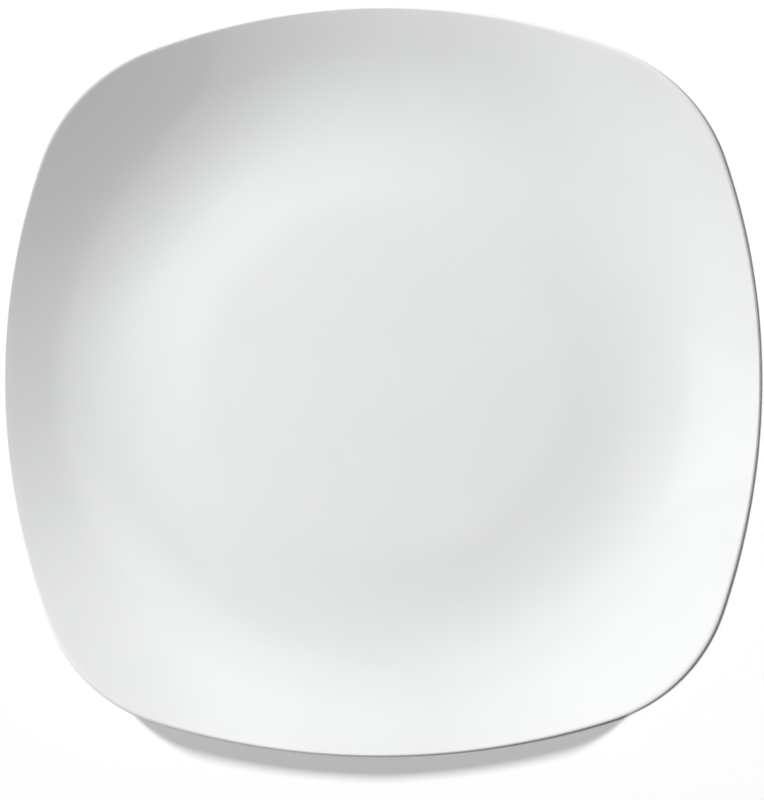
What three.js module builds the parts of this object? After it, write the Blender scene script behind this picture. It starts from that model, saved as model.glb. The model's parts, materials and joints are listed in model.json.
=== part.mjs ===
// A rounded-square coupe plate of white glazed china: one pressed and fired body with a round foot ring,
// a coat of glaze over the face, lip and underside, and a second coat inside the foot.
// The plate stands on z = 0 with its centre on the z axis and its sides facing x and y. Millimetres.

import * as THREE from 'three';

// Outline over the glaze, seen from above.
const SIDE = 270;              // across the middles of two opposite sides
const SIDE_BOW = 246;          // radius of the long arc that bows each side outwards
const CORNER_RADIUS = 64;      // radius of the arc that rounds each corner

// Heights over the glaze.
const SIDE_HEIGHT = 17.5;      // table to the top of the lip at the middle of a side
const CORNER_LIFT = 9.8;       // how much higher the outer edge of the lip stands at a corner

// Eating face, from the lip inwards.
const RIM_WIDTH = 51;          // lip to the lowest ring of the face
const RIM_BEND = 32;           // lip to where the straight rim, carried on, would meet the lowest level
const SQUARING = 4;            // power of the way along the rim by which it goes from round to square
const SHOULDER_WIDTH = 27;     // lowest ring to the flat centre
const CENTRE_RISE = 0.6;       // flat centre above the lowest ring

// Clay and glaze.
const WALL = 4.6;              // clay between the face and the underside
const LIP_THICKNESS = 3.8;     // clay at the lip
const LIP_EDGE = 0.6;          // rounding of the lip's upper edge, below which it rolls under
const GLAZE = 0.3;             // each coat of glaze

// Foot ring.
const FOOT_HEIGHT = 2.2;       // table to the clay of the underside beside the foot
const FOOT_WIDTH = 3;          // flat strip that the plate stands on
const FOOT_EDGE = 0.6;         // rounding on both edges of that strip, bare of glaze like the strip
const FOOT_FLARE = 4;          // sweep of each side of the foot into the underside

// Facets: steps around the plate, a multiple of 8 so that corners and mid-sides fall on an edge, how far
// those steps crowd towards the corners along the lip, in radians, and steps along each run of the profile.
const AROUND = 64;
const CORNER_CROWDING = 0.12;
const SHOULDER_STEPS = 4;
const RIM_STEPS = 4;
const FLANK_STEPS = 3;
const LIP_TOP_STEPS = 2;
const LIP_UNDER_STEPS = 3;
const SWEEP_STEPS = 3;
const EDGE_STEPS = 2;

const at = (r, z) => new THREE.Vector2(r, z);

// Radii and levels of the clay.
const halfSide = SIDE / 2;
const lowestRing = halfSide - RIM_WIDTH;
const flatCentre = lowestRing - SHOULDER_WIDTH;
const lowestLevel = FOOT_HEIGHT + WALL;
const centreLevel = lowestLevel + CENTRE_RISE;
const lipCentre = at(halfSide - GLAZE - LIP_EDGE, SIDE_HEIGHT - GLAZE - LIP_EDGE);
const footOuter = lowestRing - FOOT_FLARE;
const footInner = footOuter - FOOT_WIDTH - 2 * FOOT_EDGE;
const footInnerRoot = footInner - FOOT_FLARE;

// The rim is an arc that leaves the lowest ring level and ends in a straight line tangent to the lip.
const bend = at(halfSide - RIM_BEND, lowestLevel);
const toLip = lipCentre.clone().sub(bend);
const rimSlope = toLip.angle() + Math.asin(LIP_EDGE / toLip.length());
const rimArcRadius = (bend.x - lowestRing) / Math.tan(rimSlope / 2);
const rimArcEnd = at(
  lowestRing + rimArcRadius * Math.sin(rimSlope),
  lowestLevel + rimArcRadius * (1 - Math.cos(rimSlope)),
);
const lipTop = at(lipCentre.x - LIP_EDGE * Math.sin(rimSlope), lipCentre.y + LIP_EDGE * Math.cos(rimSlope));

// From its outermost point the lip rolls under on a larger arc, which leaves the clay LIP_THICKNESS thick.
const lipRoll = (LIP_THICKNESS - LIP_EDGE * (1 + Math.sin(rimSlope))) / (1 - Math.sin(rimSlope));
const rollCentre = at(lipCentre.x + LIP_EDGE - lipRoll, lipCentre.y);

// A level-ended S between two points of the profile.
function ogee(from, to) {
  const middle = (from.x + to.x) / 2;
  return new THREE.CubicBezierCurve(from, at(middle, from.y), at(middle, to.y), to);
}

// A circular arc of the profile from one angle to another, anticlockwise unless it says clockwise.
const arc = (centre, radius, start, end, clockwise) =>
  new THREE.EllipseCurve(centre.x, centre.y, radius, radius, start, end, clockwise);

// Points along a curve of the profile, each with its unit normal, which points out of the clay
// because the profile runs clockwise: out over the face, round the lip and back under.
function trace(curve, steps) {
  return Array.from({ length: steps + 1 }, (_, i) => {
    const along = curve.getTangent(i / steps);
    return { point: curve.getPoint(i / steps), normal: at(-along.y, along.x) };
  });
}

// Traces laid end to end. Where two meet, the point that they share is kept once.
const join = (...traces) => traces.flatMap((points, i) => (i ? points.slice(1) : points));

// The face, from the axis to the lip: a flat centre, a shoulder down to the lowest ring, and the rim.
const centreTrace = trace(new THREE.LineCurve(at(0, centreLevel), at(flatCentre, centreLevel)), 1);
const shoulderTrace = trace(ogee(at(flatCentre, centreLevel), at(lowestRing, lowestLevel)), SHOULDER_STEPS);
const rimTrace = trace(
  arc(at(lowestRing, lowestLevel + rimArcRadius), rimArcRadius, -Math.PI / 2, rimSlope - Math.PI / 2),
  RIM_STEPS,
);
const flankTrace = trace(new THREE.LineCurve(rimArcEnd, lipTop), FLANK_STEPS);

// The lip, traced so that its highest and outermost points are both on it.
const lipTrace = join(
  trace(arc(lipCentre, LIP_EDGE, rimSlope + Math.PI / 2, Math.PI / 2, true), 1),
  trace(arc(lipCentre, LIP_EDGE, Math.PI / 2, 0, true), LIP_TOP_STEPS),
  trace(arc(rollCentre, lipRoll, 0, rimSlope - Math.PI / 2, true), LIP_UNDER_STEPS),
);

// The underside of the rim follows its face, one wall lower, and thins evenly to the lip.
const rimUnderTrace = rimTrace.map(({ point, normal }) => {
  const outward = (point.x - lowestRing) / (lipTop.x - lowestRing);
  const thickness = THREE.MathUtils.lerp(WALL, LIP_THICKNESS, outward);
  return { point: point.clone().addScaledVector(normal, -thickness), normal: normal.clone().negate() };
}).reverse();
const flankUnderTrace = trace(
  new THREE.LineCurve(lipTrace.at(-1).point, rimUnderTrace[0].point), FLANK_STEPS);

// The foot ring: two glazed sides that sweep up into the underside, and a bare strip between rounded edges.
const outerSweepTrace = trace(
  new THREE.QuadraticBezierCurve(
    at(lowestRing, FOOT_HEIGHT), at(footOuter, FOOT_HEIGHT), at(footOuter, FOOT_EDGE)),
  SWEEP_STEPS,
);
const bareTrace = join(
  trace(arc(at(footOuter - FOOT_EDGE, FOOT_EDGE), FOOT_EDGE, 0, -Math.PI / 2, true), EDGE_STEPS),
  trace(new THREE.LineCurve(at(footOuter - FOOT_EDGE, 0), at(footInner + FOOT_EDGE, 0)), 1),
  trace(arc(at(footInner + FOOT_EDGE, FOOT_EDGE), FOOT_EDGE, -Math.PI / 2, -Math.PI, true), EDGE_STEPS),
);
const innerSweepTrace = trace(
  new THREE.QuadraticBezierCurve(
    at(footInner, FOOT_EDGE), at(footInner, FOOT_HEIGHT), at(footInnerRoot, FOOT_HEIGHT)),
  SWEEP_STEPS,
);

// Inside the foot the underside domes up to stay one wall below the raised centre.
const domeTrace = trace(
  ogee(at(footInnerRoot, FOOT_HEIGHT), at(flatCentre, centreLevel - WALL)), SHOULDER_STEPS);
const baseCentreTrace = trace(
  new THREE.LineCurve(at(flatCentre, centreLevel - WALL), at(0, centreLevel - WALL)), 1);

// The clay's whole profile in three stretches, of which the first and last carry glaze.
const faceStretch = join(
  centreTrace, shoulderTrace, rimTrace, flankTrace,
  lipTrace,
  flankUnderTrace, rimUnderTrace, outerSweepTrace,
);
const baseStretch = join(innerSweepTrace, domeTrace, baseCentreTrace);
const clay = (stretch) => stretch.map(({ point }) => point);
const glazed = (stretch) => stretch.map(({ point, normal }) => point.clone().addScaledVector(normal, GLAZE));

// Distance from the centre of the plan to the far side of an arc, along a ray at an angle.
function rayToArc(angle, centre, radius) {
  const along = centre.x * Math.cos(angle) + centre.y * Math.sin(angle);
  return along + Math.sqrt(along * along - centre.lengthSq() + radius * radius);
}

// The outline seen from above: four bowed sides, each tangent to the arcs of its two corners.
const bowCentre = at(halfSide - SIDE_BOW, 0);
const centresApart = SIDE_BOW - CORNER_RADIUS;
const cornerOffset = (bowCentre.x + Math.sqrt(2 * centresApart ** 2 - bowCentre.x ** 2)) / 2;
const cornerCentre = at(cornerOffset, cornerOffset);
const tangentPoint = cornerCentre.clone().sub(bowCentre).setLength(SIDE_BOW).add(bowCentre);

// Radius of the outline at an angle. The plan repeats every quarter turn and mirrors about each mid-side.
const quarter = Math.PI / 2;
function outlineRadius(angle) {
  const fromMidSide = Math.abs(THREE.MathUtils.euclideanModulo(angle + quarter / 2, quarter) - quarter / 2);
  return fromMidSide < tangentPoint.angle()
    ? rayToArc(fromMidSide, bowCentre, SIDE_BOW)
    : rayToArc(fromMidSide, cornerCentre, CORNER_RADIUS);
}

const cornerReach = outlineRadius(quarter / 2) - halfSide;

// Turns a round dish into the rounded square: the well and foot stay round, and from the lowest ring outwards
// the rim is drawn out towards the corners and lifted with them, by a power of the distance along the rim.
function squareRim(geometry) {
  const place = geometry.getAttribute('position');
  for (let i = 0; i < place.count; i += 1) {
    const plan = at(place.getX(i), place.getY(i));
    const alongRim = Math.max(0, plan.length() - lowestRing);
    const share = (alongRim / RIM_WIDTH) ** SQUARING;
    const crowding = CORNER_CROWDING * Math.sin(2 * Math.PI * plan.angle() / quarter);
    const angle = plan.angle() + share * crowding;
    const reach = outlineRadius(angle) - halfSide;
    const radius = plan.length() + share * reach;
    const lift = share * CORNER_LIFT * (reach / cornerReach);
    place.setXYZ(i, radius * Math.cos(angle), radius * Math.sin(angle), place.getZ(i) + lift);
  }
  return geometry;
}

// A profile that runs from the axis and back to it, turned about the z axis.
const turned = (profile) => new THREE.LatheGeometry(profile, AROUND).rotateX(Math.PI / 2);

// A coat of glaze. Its face on the clay takes 'count' steps of the profile, from the step 'first'. There each
// four-sided facet is split along its other diagonal, into the triangles of the clay's face, so the two fit.
const FACET_CORNERS = 6;       // corners listed for a four-sided facet, as two triangles
function coat(profile, first, count) {
  const geometry = turned(profile);
  const index = geometry.getIndex();
  for (let corner = 0; corner < index.count; corner += FACET_CORNERS) {
    const step = (corner / FACET_CORNERS) % (profile.length - 1);
    if (step < first || step >= first + count) continue;
    const [a, b, d, c] = [0, 1, 2, 3].map((i) => index.getX(corner + i));
    [a, b, c, c, d, a].forEach((vertex, i) => index.setX(corner + i, vertex));
  }
  return squareRim(geometry);
}

// Turned solids face out when their profile rises, so each of these goes out below and comes back above.
const bodyProfile = clay(join(faceStretch, bareTrace, baseStretch)).reverse();
const faceProfile = [...clay(faceStretch), ...glazed(faceStretch).reverse()];
const baseProfile = [...glazed(baseStretch).reverse(), ...clay(baseStretch)];

const bareClay = new THREE.MeshStandardMaterial({ color: 0xe0d9cc, roughness: 0.65, metalness: 0 });
const whiteGlaze = new THREE.MeshStandardMaterial({ color: 0xeaebea, roughness: 0.08, metalness: 0 });

function piece(name, geometry, material) {
  const mesh = new THREE.Mesh(geometry, material);
  mesh.name = name;
  return mesh;
}

const plate = new THREE.Group();
plate.name = 'square_plate';
plate.add(
  piece('plate_body', squareRim(turned(bodyProfile)), bareClay),
  piece('face_glaze', coat(faceProfile, 0, faceStretch.length - 1), whiteGlaze),
  piece('base_glaze', coat(baseProfile, baseStretch.length, baseStretch.length - 1), whiteGlaze),
);

export default plate;
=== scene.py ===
import json
import math

import bpy
import numpy as np
from mathutils import Matrix, Vector


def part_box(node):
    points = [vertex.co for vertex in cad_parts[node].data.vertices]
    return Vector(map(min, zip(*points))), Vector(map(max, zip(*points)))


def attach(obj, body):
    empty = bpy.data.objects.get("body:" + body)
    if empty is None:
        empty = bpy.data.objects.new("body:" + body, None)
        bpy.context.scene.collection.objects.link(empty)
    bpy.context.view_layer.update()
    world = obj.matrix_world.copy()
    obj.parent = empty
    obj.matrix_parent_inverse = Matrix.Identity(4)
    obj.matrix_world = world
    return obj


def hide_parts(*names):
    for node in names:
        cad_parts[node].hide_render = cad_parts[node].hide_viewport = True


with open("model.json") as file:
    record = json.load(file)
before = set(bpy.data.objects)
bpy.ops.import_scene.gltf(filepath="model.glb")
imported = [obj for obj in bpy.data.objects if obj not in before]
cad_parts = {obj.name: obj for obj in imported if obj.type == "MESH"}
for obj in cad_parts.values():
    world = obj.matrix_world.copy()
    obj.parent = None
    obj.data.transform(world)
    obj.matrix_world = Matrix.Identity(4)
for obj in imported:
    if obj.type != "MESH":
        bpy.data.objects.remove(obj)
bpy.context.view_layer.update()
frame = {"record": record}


# China body.
# One piece of white vitrified china, pressed between a former for its face and a tool for its underside
# and foot, then fired. The glaze hides it everywhere but on the strip of the foot that it stands on.
SIDE_BOW = 0.246            # radius of the long arc that bows each side outwards
CORNER_RADIUS = 0.064       # radius of the arc that rounds each corner
SIDE_HEIGHT = 0.0175        # table to the top of the lip at the middle of a side, over the glaze
CORNER_LIFT = 0.0098        # how much higher the outer edge of the lip stands at a corner
RIM_WIDTH = 0.051           # lip to the lowest ring of the face
RIM_BEND = 0.032            # lip to where the straight rim, carried on, would meet the lowest level
SQUARING = 4                # power of the way along the rim by which it goes from round to square
SHOULDER_WIDTH = 0.027      # lowest ring to the flat centre
CENTRE_RISE = 0.0006        # flat centre above the lowest ring
WALL = 0.0046               # clay between the face and the underside
LIP_THICKNESS = 0.0038      # clay at the lip
LIP_EDGE = 0.0004           # rounding of the lip's upper edge, below which it rolls under
GLAZE = 0.0003              # glaze on an even stretch of wall
FOOT_HEIGHT = 0.0022        # table to the clay of the underside beside the foot
FOOT_WIDTH = 0.003          # flat strip that the plate stands on
FOOT_EDGE = 0.0006          # rounding on both edges of that strip
FOOT_FLARE = 0.004          # sweep of each side of the foot into the underside
WARP = 0.000375             # how far the rim may have moved up or down in the kiln
WARP_WAVES = ((2, 1, -0.7), (3, 0.5, 1.9))  # waves of it round the rim: crests, share and start

CENTRE_STEPS = 8            # steps of the profile along each stretch of it
SHOULDER_STEPS = 20
RIM_STEPS = 24
FLANK_STEPS = 12
FLANK_CROWDING = 2          # power by which the steps on the face's flank crowd towards the lip
LIP_TOP_STEPS = 12
LIP_ROLL_STEPS = 14
FOOT_SIDE_STEPS = 14
FOOT_EDGE_STEPS = 6
FOOT_STRIP_STEPS = 4
RECESS_STEPS = 16

glaze_low, glaze_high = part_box("face_glaze")
half_side = (glaze_high.x - glaze_low.x) / 2
lowest_ring = half_side - RIM_WIDTH
flat_centre = lowest_ring - SHOULDER_WIDTH
lowest_level = FOOT_HEIGHT + WALL
centre_level = lowest_level + CENTRE_RISE
base_level = centre_level - WALL
lip_centre = np.array([half_side - GLAZE - LIP_EDGE, SIDE_HEIGHT - GLAZE - LIP_EDGE])
foot_outer = lowest_ring - FOOT_FLARE
foot_inner = foot_outer - FOOT_WIDTH - 2 * FOOT_EDGE
foot_root = foot_inner - FOOT_FLARE


def straight(start, end, steps, crowding=1):
    """Points along the line from start to end: what is left of the way shrinks by a power of even steps."""
    left = (1 - np.linspace(0, 1, steps + 1)[:, None]) ** crowding
    return left * np.array(start) + (1 - left) * np.array(end)


def round_arc(centre, radius, start, end, steps):
    """Points at even angles on a circle: centre plus radius times the cosine and sine of the angle."""
    angle = np.linspace(start, end, steps + 1)
    return np.array(centre) + radius * np.stack([np.cos(angle), np.sin(angle)], -1)


def bezier(steps, *corners):
    """Points of a Bezier curve: neighbouring corners blended by t, and the blends again, down to one."""
    t = np.linspace(0, 1, steps + 1)[:, None]
    runs = [np.array(corner) for corner in corners]
    while len(runs) > 1:
        runs = [(1 - t) * first + t * second for first, second in zip(runs, runs[1:])]
    return runs[0]


def ogee(start, end, steps):
    """An S with level ends: a Bezier curve whose two handles both stand half way along."""
    middle = (start[0] + end[0]) / 2
    return bezier(steps, start, (middle, start[1]), (middle, end[1]), end)


def end_to_end(*runs):
    """Runs of points laid end to end, with the point that two of them share kept once."""
    return np.concatenate([runs[0]] + [run[1:] for run in runs[1:]])


def outward(points):
    """Unit normals of a profile that runs clockwise: its direction, by central differences, turned left."""
    along = np.gradient(points, axis=0)
    along /= np.linalg.norm(along, axis=1)[:, None]
    return np.stack([-along[:, 1], along[:, 0]], -1)


bend = np.array([half_side - RIM_BEND, lowest_level])
to_lip = lip_centre - bend
rim_slope = math.atan2(to_lip[1], to_lip[0]) + math.asin(LIP_EDGE / math.hypot(*to_lip))
rim_arc = (bend[0] - lowest_ring) / math.tan(rim_slope / 2)
rim_centre = (lowest_ring, lowest_level + rim_arc)
lip_roll = (LIP_THICKNESS - LIP_EDGE * (1 + math.sin(rim_slope))) / (1 - math.sin(rim_slope))
roll_centre = (lip_centre[0] + LIP_EDGE - lip_roll, lip_centre[1])
right_angle = math.pi / 2

rim_run = round_arc(rim_centre, rim_arc, -right_angle, rim_slope - right_angle, RIM_STEPS)
edge_run = round_arc(lip_centre, LIP_EDGE, rim_slope + right_angle, 0, LIP_TOP_STEPS)
roll_run = round_arc(roll_centre, lip_roll, 0, rim_slope - right_angle, LIP_ROLL_STEPS)
wall = np.interp(rim_run[:, :1], [lowest_ring, edge_run[0, 0]], [WALL, LIP_THICKNESS])
rim_under_run = round_arc(rim_centre, rim_arc + wall, -right_angle, rim_slope - right_angle, RIM_STEPS)[::-1]

face_stretch = end_to_end(
    straight((0, centre_level), (flat_centre, centre_level), CENTRE_STEPS),
    ogee((flat_centre, centre_level), (lowest_ring, lowest_level), SHOULDER_STEPS),
    rim_run,
    straight(rim_run[-1], edge_run[0], FLANK_STEPS, FLANK_CROWDING),
    edge_run,
    roll_run,
    straight(roll_run[-1], rim_under_run[0], FLANK_STEPS),
    rim_under_run,
    bezier(FOOT_SIDE_STEPS, (lowest_ring, FOOT_HEIGHT), (foot_outer, FOOT_HEIGHT), (foot_outer, FOOT_EDGE)),
)
bare_stretch = end_to_end(
    round_arc((foot_outer - FOOT_EDGE, FOOT_EDGE), FOOT_EDGE, 0, -right_angle, FOOT_EDGE_STEPS),
    straight((foot_outer - FOOT_EDGE, 0), (foot_inner + FOOT_EDGE, 0), FOOT_STRIP_STEPS),
    round_arc((foot_inner + FOOT_EDGE, FOOT_EDGE), FOOT_EDGE, -right_angle, -math.pi, FOOT_EDGE_STEPS),
)
base_stretch = end_to_end(
    bezier(FOOT_SIDE_STEPS, (foot_inner, FOOT_EDGE), (foot_inner, FOOT_HEIGHT), (foot_root, FOOT_HEIGHT)),
    ogee((foot_root, FOOT_HEIGHT), (flat_centre, base_level), RECESS_STEPS),
    straight((flat_centre, base_level), (0, base_level), CENTRE_STEPS),
)

SPOKES = 320                # steps around the plate
CROWDING = 0.12             # how far the steps along the lip crowd towards the corners, in radians
CORNERS = 4


def ray_to_arc(angle, centre, radius):
    """Distance from the middle of the plan to the far side of a circle, along a ray at each angle."""
    along = centre[0] * np.cos(angle) + centre[1] * np.sin(angle)
    return along + np.sqrt(np.maximum(along ** 2 - centre[0] ** 2 - centre[1] ** 2 + radius ** 2, 0))


def outline(angle):
    """Radius of the plan at each angle: a bowed side's arc, or past the point of tangency a corner's arc."""
    bow_centre = half_side - SIDE_BOW
    offset = (bow_centre + math.sqrt(2 * (SIDE_BOW - CORNER_RADIUS) ** 2 - bow_centre ** 2)) / 2
    turn = math.atan2(offset, offset - bow_centre)
    tangency = math.atan2(SIDE_BOW * math.sin(turn), bow_centre + SIDE_BOW * math.cos(turn))
    from_side = np.abs((angle + math.pi / CORNERS) % right_angle - math.pi / CORNERS)
    side = ray_to_arc(from_side, (bow_centre, 0), SIDE_BOW)
    corner = ray_to_arc(from_side, (offset, offset), CORNER_RADIUS)
    return np.where(from_side < tangency, side, corner)


corner_reach = outline(np.array(math.pi / CORNERS)) - half_side


def wavy(angle, waves):
    """A wavy line round the plate, between -1 and 1: the shares times the cosines of the angle times the
    crests plus the start, summed, over the sum of the shares."""
    total = sum(share * np.cos(crests * angle + start) for crests, share, start in waves)
    return total / sum(share for crests, share, start in waves)


def square_rim(profile, drop=0.0):
    """Carries a profile round the plate and squares it. From the lowest ring outwards, by a power of the
    share of the rim that is passed, radius grows to the outline, height by the corners' lift and the kiln's
    warp, and the spokes lean towards the corners. A drop, where given, lowers each ring and spoke. Gives
    rings x spokes x 3."""
    turn = np.arange(SPOKES) * 2 * math.pi / SPOKES
    share = (np.maximum(profile[:, :1] - lowest_ring, 0) / RIM_WIDTH) ** SQUARING
    angle = turn + share * CROWDING * np.sin(CORNERS * turn)
    reach = outline(angle) - half_side
    radius = profile[:, :1] + share * reach
    lift = CORNER_LIFT * reach / corner_reach + WARP * wavy(angle, WARP_WAVES)
    height = profile[:, 1:] + share * lift - drop
    return np.stack([radius * np.cos(angle), radius * np.sin(angle), height], -1)


def turned_piece(name, rings):
    """A closed mesh from rings of points: neighbouring rings are joined by four-sided faces, and the first
    and last ring, which have shrunk to a point on the axis, become poles that a fan of triangles closes."""
    first, last = 0, 1 + (len(rings) - 2) * SPOKES
    places = np.concatenate([rings[0, :1], rings[1:-1].reshape(-1, 3), rings[-1, :1]])
    spoke = np.arange(SPOKES)
    ahead = (spoke + 1) % SPOKES
    start = 1 + np.arange(len(rings) - 3)[:, None] * SPOKES
    quads = np.stack([start + spoke, start + ahead, start + SPOKES + ahead, start + SPOKES + spoke], -1)
    top = np.stack([np.full(SPOKES, first), 1 + ahead, 1 + spoke], -1)
    bottom = np.stack([np.full(SPOKES, last), last - SPOKES + spoke, last - SPOKES + ahead], -1)
    corners = np.concatenate([quads.ravel(), top.ravel(), bottom.ravel()])
    sizes = np.concatenate([np.full(quads[..., 0].size, 4), np.full(2 * SPOKES, 3)])
    mesh = bpy.data.meshes.new(name)
    mesh.vertices.add(len(places))
    mesh.vertices.foreach_set("co", places.ravel())
    mesh.loops.add(len(corners))
    mesh.loops.foreach_set("vertex_index", corners.astype(np.int32))
    mesh.polygons.add(len(sizes))
    mesh.polygons.foreach_set("loop_start", (np.cumsum(sizes) - sizes).astype(np.int32))
    mesh.update(calc_edges=True)
    mesh.validate()
    mesh.shade_smooth()
    piece = bpy.data.objects.new(name, mesh)
    bpy.context.scene.collection.objects.link(piece)
    return piece


class Wire:
    """One output in a material's node tree. Operators on it add Math nodes, and node() adds other kinds."""

    def __init__(self, tree, socket=None):
        self.tree = tree
        self.socket = socket

    def node(self, kind, settings=None, sockets=None, out=0):
        """A node of a kind, with its settings made first, then the values or links of its sockets."""
        made = self.tree.nodes.new(kind)
        for name, value in (settings or {}).items():
            setattr(made, name, value)
        for name, value in (sockets or {}).items():
            if isinstance(value, Wire):
                self.tree.links.new(value.socket, made.inputs[name])
            else:
                made.inputs[name].default_value = value
        return Wire(self.tree, made.outputs[out])

    def math(self, operation, first, second=0.0):
        return self.node("ShaderNodeMath", {"operation": operation}, {0: first, 1: second})

    def __add__(self, other):
        return self.math("ADD", self, other)

    def __sub__(self, other):
        return self.math("SUBTRACT", self, other)

    def __rsub__(self, other):
        return self.math("SUBTRACT", other, self)

    def __mul__(self, other):
        return self.math("MULTIPLY", self, other)

    def __lt__(self, other):
        return self.math("LESS_THAN", self, other)

    __radd__ = __add__
    __rmul__ = __mul__

    def between(self, low, high):
        """Nought at low and one at high, with a soft start and end."""
        sockets = {"Value": self, "From Min": low, "From Max": high}
        return self.node("ShaderNodeMapRange", {"interpolation_type": "SMOOTHSTEP"}, sockets)

    def blend(self, first, second):
        """Colour first where this is nought and colour second where it is one."""
        return self.node("ShaderNodeMix", {"data_type": "RGBA"}, {0: self, 6: first, 7: second}, out=2)


def finish_of(piece, name):
    """A new material on a piece: gives its Principled shader, and its Object coordinates as a wire."""
    material = bpy.data.materials.new(name)
    material.use_nodes = True
    piece.data.materials.append(material)
    shader = material.node_tree.nodes["Principled BSDF"]
    place = Wire(material.node_tree).node("ShaderNodeTexCoord", out="Object")
    return shader, place


def feed(shader, **wires):
    """Links wires to the shader's sockets, which are named with _ for each space."""
    for name, wire in wires.items():
        wire.tree.links.new(wire.socket, shader.inputs[name.replace("_", " ")])


def noise(place, size, detail=2.0):
    """Cloudy noise about 0.5, with blotches of about the given size in metres."""
    return place.node("ShaderNodeTexNoise", None, {"Vector": place, "Scale": 1 / size, "Detail": detail})


BARE_GRAIN = 0.0004         # grains of the bare clay
GRAIN_HEIGHT = 0.00005
GRAIN_STRENGTH = 0.5        # how strongly their slopes turn the light
BARE_SMEAR = 0.012          # paler and darker stretches along the foot
KILN_DUST = 0.0011          # spacing of dark grains picked up in the kiln
DUST_RADIUS = 0.14          # their radius, as a share of the spacing
DUST_SHADE = 0.62           # their brightness, as a share of the clay's
GRAIN_TONE = 0.35           # how much of the clay's tone comes from grain, smears and dust
SMEAR_TONE = 0.5
DUST_TONE = 0.5
TONE_RANGE = (-0.25, 0.6)   # tone at which the colour is all clay, and all dust
BARE_ROUGHNESS = 0.55       # between the grains
GRAIN_ROUGHNESS = 0.2       # on top of it on the grains
slot_colour = {entry["slot"]: entry["base_color"] for entry in frame["record"]["materials"]}
bare_colour = (*slot_colour["china_body"][:3], 1)
dust_colour = (*[DUST_SHADE * part for part in bare_colour[:3]], 1)

body = turned_piece("china_body", square_rim(end_to_end(face_stretch, bare_stretch, base_stretch)))
bare, place = finish_of(body, "bare_china")
grain = noise(place, BARE_GRAIN, detail=4.0)
smear = noise(place, BARE_SMEAR)
dust = place.node("ShaderNodeTexVoronoi", None, {"Vector": place, "Scale": 1 / KILN_DUST}) < DUST_RADIUS
tone = (grain - 0.5) * GRAIN_TONE + (smear - 0.5) * SMEAR_TONE + dust * DUST_TONE
relief = {"Height": grain, "Strength": GRAIN_STRENGTH, "Distance": GRAIN_HEIGHT}
feed(
    bare,
    Base_Color=tone.between(*TONE_RANGE).blend(bare_colour, dust_colour),
    Roughness=BARE_ROUGHNESS + GRAIN_ROUGHNESS * grain,
    Normal=place.node("ShaderNodeBump", None, relief),
)
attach(body, "root")
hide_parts("plate_body")


# Face glaze.
# A coat of clear gloss glaze over the white clay, sprayed on before the second firing, when it melts and
# levels itself. It covers the face, the lip and the underside, and ends on the foot in a soft wiped bead.
POOLING = 0.3               # share by which the melt gathers in tight hollows and draws thin over edges
POOL_REACH = 0.002          # bend radius at which it does so
MELT_FLOW = 0.0015          # length over which it evens itself out
BEAD = 0.0005               # length of the rounded end of the coat
LINE_WAVE = 0.00018         # how far the wiped end wanders up and down the side of the foot
LINE_WAVES = ((7, 1, 0), (18, 1, 1.1), (41, 0.7, 2.3))  # waves of it round the foot: crests, share and start


def coat_depth(clay, run):
    """Depth of the melt along a stretch of clay: the even coat, plus a share that follows the hyperbolic
    tangent of the clay's hollowness, which is how fast its normal turns along the run. A bell curve's
    average of its neighbours evens each point out."""
    normal = outward(clay)
    step = np.gradient(run)
    hollowness = np.gradient(np.unwrap(np.arctan2(normal[:, 1], normal[:, 0]))) / step
    bell = np.exp(-((run[:, None] - run) / MELT_FLOW) ** 2) * step
    return GLAZE * (1 + POOLING * bell @ np.tanh(POOL_REACH * hollowness) / bell.sum(1))


def coat_of_glaze(name, clay, end_first):
    """A closed coat on a stretch of clay that runs between the axis and the wiped end. The depth shrinks to
    nothing along a quarter ellipse at that end, whose line wanders as a sum of waves round the foot."""
    run = np.concatenate([[0], np.cumsum(np.linalg.norm(np.diff(clay, axis=0), axis=1))])
    from_end = run if end_first else run[-1] - run
    near_end = np.clip(1 - from_end / BEAD, 0, 1)
    depth = coat_depth(clay, run) * np.sqrt(1 - near_end ** 2)
    glazed = clay + outward(clay) * depth[:, None]
    pole = -1 if end_first else 0
    glazed[pole, 0] = 0
    turn = np.arange(SPOKES) * 2 * math.pi / SPOKES
    drop = np.clip(1 - from_end / FOOT_FLARE, 0, 1)[:, None] ** 2 * LINE_WAVE * wavy(turn, LINE_WAVES)
    inner, outer = square_rim(clay, drop), square_rim(glazed, drop)
    if end_first:
        rings = np.concatenate([inner[::-1], outer[1:]])
        depths = np.concatenate([depth[::-1], depth[1:]])
    else:
        rings = np.concatenate([outer, inner[-2::-1]])
        depths = np.concatenate([depth, depth[-2::-1]])
    piece = turned_piece(name, rings)
    values = np.concatenate([depths[:1], np.repeat(depths[1:-1], SPOKES), depths[-1:]])
    piece.data.attributes.new("depth", "FLOAT", "POINT").data.foreach_set("value", values / GLAZE)
    return piece


CLOUDS = 0.03               # size of the faintly duller clouds in the glaze
CLOUD_RANGE = (0.35, 0.75)  # noise at which a cloud begins, and is full
CLOUD_TONE = 0.8            # how far a full cloud goes to its colour
SPECK_SPACING = 0.008       # between the specks in it
SPECK_RADIUS = 0.00014
SPECK_TONE = 0.5            # how far a speck goes to its colour, through the glaze over it
SWELLS = 0.024              # size of the swells where the melt didn't level
SWELL_HEIGHT = 0.00006
PEEL = 0.0016               # size of the finest unevenness
PEEL_HEIGHT = 0.0000008
GLAZE_ROUGHNESS = 0.06      # outside the clouds
CLOUD_ROUGHNESS = 0.03      # on top of it in them
GLAZE_IOR = 1.52
COAT_WEIGHT = 0.3           # share of the glaze that fired to a perfect gloss
COAT_ROUGHNESS = 0.02
glaze_colour = np.array([*slot_colour["white_glaze"][:3], 1])
thin_colour = glaze_colour * (1.0, 0.995, 0.982, 1)
deep_colour = glaze_colour * (0.97, 0.992, 1.009, 1)
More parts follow.
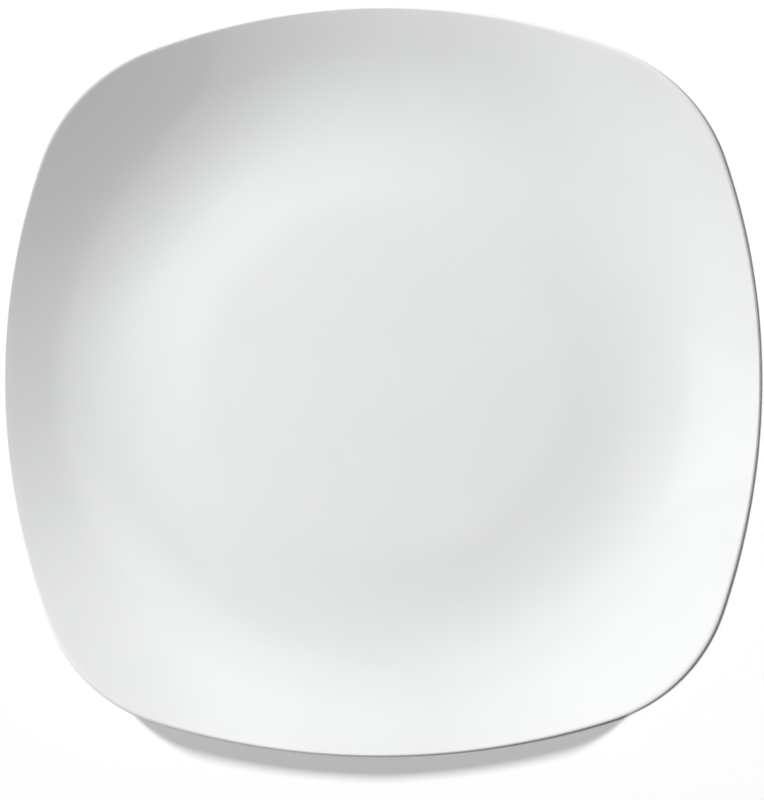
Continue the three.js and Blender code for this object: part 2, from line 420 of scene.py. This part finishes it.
cloud_colour = glaze_colour * (0.965, 0.974, 0.976, 1)
speck_colour = glaze_colour * (0.72, 0.68, 0.62, 1)


def glaze_finish(piece, name):
    """The look of the glaze: nearly even white, faintly cooler where it is deep and warmer where it is thin,
    with duller clouds, a few specks, and a surface that swells a little where the melt didn't level."""
    gloss, place = finish_of(piece, name)
    depth = place.node("ShaderNodeAttribute", {"attribute_name": "depth"}, out="Fac")
    cloud = noise(place, CLOUDS, detail=3.0)
    to_speck = place.node("ShaderNodeTexVoronoi", None, {"Vector": place, "Scale": 1 / SPECK_SPACING})
    speck = to_speck < SPECK_RADIUS / SPECK_SPACING
    tint = depth.between(1 - POOLING, 1 + POOLING).blend(thin_colour, deep_colour)
    tint = (cloud.between(*CLOUD_RANGE) * CLOUD_TONE).blend(tint, cloud_colour)
    tint = (speck * SPECK_TONE).blend(tint, speck_colour)
    uneven = noise(place, SWELLS) * SWELL_HEIGHT + noise(place, PEEL) * PEEL_HEIGHT
    feed(
        gloss,
        Base_Color=tint,
        Roughness=GLAZE_ROUGHNESS + CLOUD_ROUGHNESS * cloud,
        Normal=place.node("ShaderNodeBump", None, {"Height": uneven, "Strength": 1.0, "Distance": 1.0}),
    )
    gloss.inputs["IOR"].default_value = GLAZE_IOR
    gloss.inputs["Coat Weight"].default_value = COAT_WEIGHT
    gloss.inputs["Coat Roughness"].default_value = COAT_ROUGHNESS


face = coat_of_glaze("face_coat", face_stretch, end_first=False)
glaze_finish(face, "face_gloss")
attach(face, "root")
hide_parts("face_glaze")


# Base glaze.
# The same glaze inside the foot ring. It is cut off from the coat on the face by the bare strip, and ends
# in a bead on the inner side of the foot.
base = coat_of_glaze("base_coat", base_stretch, end_first=True)
glaze_finish(base, "base_gloss")
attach(base, "root")
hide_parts("base_glaze")


# Floor and light.
# A white table, and a white card on it under the plate, in soft light from softboxes. Table and card have
# lamps of their own, so that the shadow is a thin line on the plate's right and gathers under its near side.
FLOOR_REACH = 6.0           # middle of the table to its ends
FLOOR_WHITE = 0.88
FLOOR_BOUNCE = 0.5          # its white in the light that it passes on, so that the lip stays dark outside
FLOOR_ROUGHNESS = 0.9
FLOOR_SHINE = 0.1
CARD_INSET = 0.005          # plate's outline to the card's edge under the plate
CARD_MARGIN = 0.02          # how far the card shows past the plate's outline on the right
CARD_SHOWS = (-54, 60)      # angles between which it does, in degrees
CARD_THICKNESS = 0.00002
CARD_STEPS = 90             # along each of its two long edges


def grey(level):
    """An even grey: the level, from nought for black to one for white, in red, green and blue alike."""
    return (level, level, level, 1)


def seen_directly(wire):
    """One on the camera's rays and on those that gloss or glass sends on, and nought on all other rays."""
    camera_ray = wire.node("ShaderNodeLightPath", out="Is Camera Ray")
    glossy_ray = wire.node("ShaderNodeLightPath", out="Is Glossy Ray")
    clear_ray = wire.node("ShaderNodeLightPath", out="Is Transmission Ray")
    return wire.math("MINIMUM", camera_ray + glossy_ray + clear_ray, 1.0)


def flat_white(name, plan, height):
    """A flat white polygon at a height, with its corners at the given x and y."""
    corners = [(x, y, height) for x, y in plan]
    mesh = bpy.data.meshes.new(name)
    mesh.from_pydata(corners, [], [range(len(corners))])
    part = bpy.data.objects.new(name, mesh)
    bpy.context.scene.collection.objects.link(part)
    paint, place = finish_of(part, name)
    feed(paint, Base_Color=seen_directly(place).blend(grey(FLOOR_BOUNCE), grey(FLOOR_WHITE)))
    paint.inputs["Roughness"].default_value = FLOOR_ROUGHNESS
    paint.inputs["Specular IOR Level"].default_value = FLOOR_SHINE
    return part


def half_table(name, end_x):
    """The half of the table between the middle and an end, a card's thickness below the plate's foot. Each
    half has a far lamp of its own."""
    plan = [(0, -FLOOR_REACH), (end_x, -FLOOR_REACH), (end_x, FLOOR_REACH), (0, FLOOR_REACH)]
    return flat_white(name, plan, -CARD_THICKNESS)


def along_outline(start, end, outset):
    """Points a distance outside the plate's outline, from one angle in degrees to another."""
    angle = np.radians(np.linspace(start, end, CARD_STEPS + 1))
    radius = outline(angle) + outset
    return np.stack([radius * np.cos(angle), radius * np.sin(angle)], -1)


shows_from, shows_to = CARD_SHOWS
hidden_edge = along_outline(shows_to, shows_from + 360, -CARD_INSET)
shown_edge = along_outline(shows_from, shows_to, CARD_MARGIN)
table_left = half_table("table_left", -FLOOR_REACH)
table_right = half_table("table_right", FLOOR_REACH)
card = flat_white("card", [*hidden_edge, *shown_edge], 0)


def towards(azimuth, elevation):
    """Unit vector at an azimuth, anticlockwise from +X, and an elevation, both in degrees."""
    around, up = math.radians(azimuth), math.radians(elevation)
    return Vector((math.cos(around) * math.cos(up), math.sin(around) * math.cos(up), math.sin(up)))


def softbox(name, place, faces, size, radiance, lights, spread=180):
    """A rectangular lamp at a place, that shines against a direction and lights only the given pieces. Its
    watts are its radiance times its area times pi. A grid, where its spread in degrees is below 180, makes
    the light fade outwards, and takes away a share that is half the spread over the tangent of that half."""
    half_spread = math.radians(spread) / 2
    light = bpy.data.lights.new(name, "AREA")
    light.shape = "RECTANGLE"
    light.size, light.size_y = size
    light.spread = 2 * half_spread
    light.energy = radiance * size[0] * size[1] * math.pi
    if spread < 180:
        light.energy *= 1 - half_spread / math.tan(half_spread)
    lamp = bpy.data.objects.new(name, light)
    lamp.location = place
    lamp.rotation_euler = faces.to_track_quat("Z", "Y").to_euler()
    lamp.visible_camera = False
    lamp.light_linking.receiver_collection = bpy.data.collections.new("lit_by_" + name)
    for piece in lights:
        lamp.light_linking.receiver_collection.objects.link(piece)
    bpy.context.scene.collection.objects.link(lamp)


plate = [body, face, base]
overhead = Vector((0, 0, 1))
low_left = towards(143, 24)
high_right = towards(45, 55)
front_left = towards(230, 30)
softbox("key", 1.6 * low_left, low_left, size=(0.8, 0.5), radiance=24.9, lights=plate)
softbox("silk", (-0.44, -0.65, 1.5), overhead, size=(2.32, 1.9), radiance=0.36, lights=plate)
softbox("left_panel", (-1.05, -0.115, 1.48), overhead, size=(1.1, 0.43), radiance=0.61, lights=plate)
softbox("right_grid", 2 * high_right, high_right, size=(2.31, 2.31), radiance=2.63, lights=plate, spread=60)
softbox("front_grid", 2 * front_left, front_left, size=(1.87, 1.87), radiance=0.55, lights=plate, spread=50)

by_the_camera = Vector((-0.07, 0.163, 1)).normalized()
beside_it = Vector((-0.058, 0.154, 1)).normalized()
far_left = towards(135, 47)
far_right = towards(45, 47)
table = [table_left, table_right]
softbox("table_lamp", 4 * by_the_camera, by_the_camera, size=(0.12, 0.12), radiance=1554, lights=table)
softbox("far_left_lamp", 12 * far_left, far_left, size=(0.48, 2.1), radiance=370, lights=[table_left])
softbox("far_right_lamp", 12 * far_right, far_right, size=(0.48, 2.1), radiance=370, lights=[table_right])
softbox("card_lamp", 4 * beside_it, beside_it, size=(0.08, 0.08), radiance=7650, lights=[card])
softbox("card_fill", (0, 0, 3), overhead, size=(3, 3), radiance=0.33, lights=[card])

SKY = 0.08                  # light of the world on the object, beside the lamps
world = bpy.data.worlds.new("studio")
bpy.context.scene.world = world
world.use_nodes = True
backdrop = world.node_tree.nodes["Background"]
backdrop.inputs["Color"].default_value = grey(1)
glow = SKY + (1 - SKY) * seen_directly(Wire(world.node_tree))
world.node_tree.links.new(glow.socket, backdrop.inputs["Strength"])


# Camera.
# Nearly straight above the plate, from a long way off, as the photograph was taken.
TILT = 8.145                # degrees off the vertical
TOWARDS = 95.2              # direction in which it leans, anticlockwise from +X
ROLL = -0.216               # degrees that the picture is turned
DISTANCE = 3.0              # from the middle of the plate's foot
PIXELS_PER_METRE = 2791.4   # at that distance
IMAGE = (764, 800)
CENTRE_PIXEL = (381.6, 377.3)   # where the middle of the plate's foot lies in the picture
SENSOR = 36.0

back = towards(TOWARDS, 90 - TILT)
right = Vector((0, 1, 0)).cross(back).normalized()
up = back.cross(right)
roll = math.radians(ROLL)
right, up = math.cos(roll) * right + math.sin(roll) * up, math.cos(roll) * up - math.sin(roll) * right
off_centre = (IMAGE[0] / 2 - CENTRE_PIXEL[0], IMAGE[1] / 2 - CENTRE_PIXEL[1])
aim_at = (off_centre[0] * right - off_centre[1] * up) / PIXELS_PER_METRE

lens = bpy.data.cameras.new("camera")
lens.sensor_width = SENSOR
lens.lens = SENSOR * DISTANCE * PIXELS_PER_METRE / max(IMAGE)
camera = bpy.data.objects.new("camera", lens)
camera.location = aim_at + back * DISTANCE
camera.rotation_mode = "QUATERNION"
camera.rotation_quaternion = Matrix((right, up, back)).transposed().to_quaternion()
bpy.context.scene.collection.objects.link(camera)
bpy.context.scene.camera = camera
bpy.context.scene.view_settings.view_transform = "Standard"
